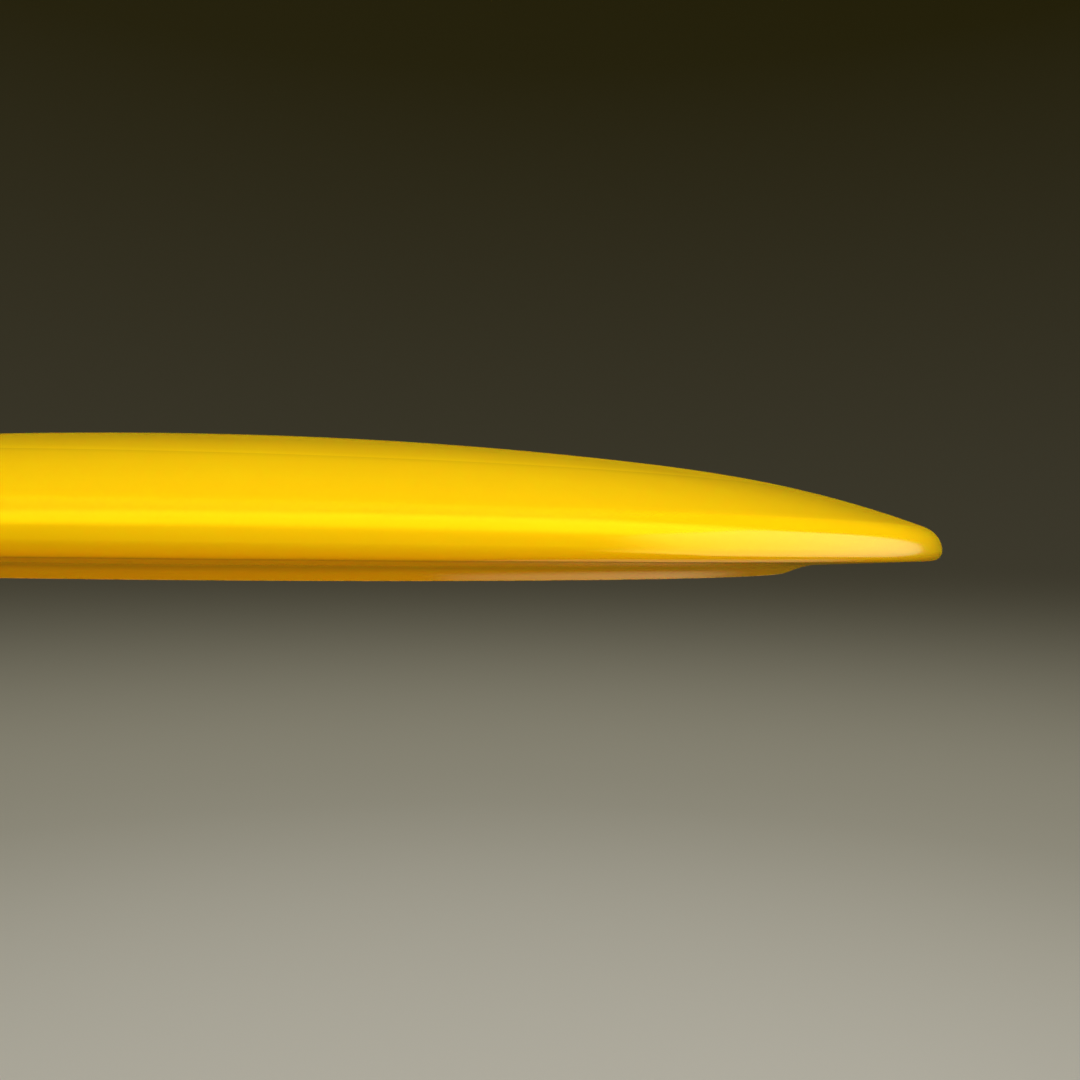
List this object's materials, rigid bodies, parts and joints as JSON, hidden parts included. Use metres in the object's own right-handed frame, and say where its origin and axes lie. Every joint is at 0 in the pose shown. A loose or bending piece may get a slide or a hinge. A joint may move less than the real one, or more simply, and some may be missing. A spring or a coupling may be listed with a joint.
{
  "type": "golf disc",
  "caption": "Round flying disc for disc golf: a thin domed flight plate with a deep inner rim, joined to a wide sharp-nosed outer rim moulded over its edge.",
  "frame": {"origin": "centre of the plane that the rim's resting ring lies in, on the disc's axis", "axes": "+Z along the disc's axis, out of the top of the dome; X and Y are any two directions across the disc, because it is a body of revolution"},
  "size_m": [0.212, 0.212, 0.0195],
  "materials": {
    "core_plastic": "glossy opaque yellow moulded plastic, slightly deeper than the rim",
    "rim_plastic": "high-gloss, slightly translucent yellow moulded plastic"
  },
  "bodies": {
    "root": {"core_plate": "core_plastic", "outer_rim": "rim_plastic"}
  },
  "joints": []
}
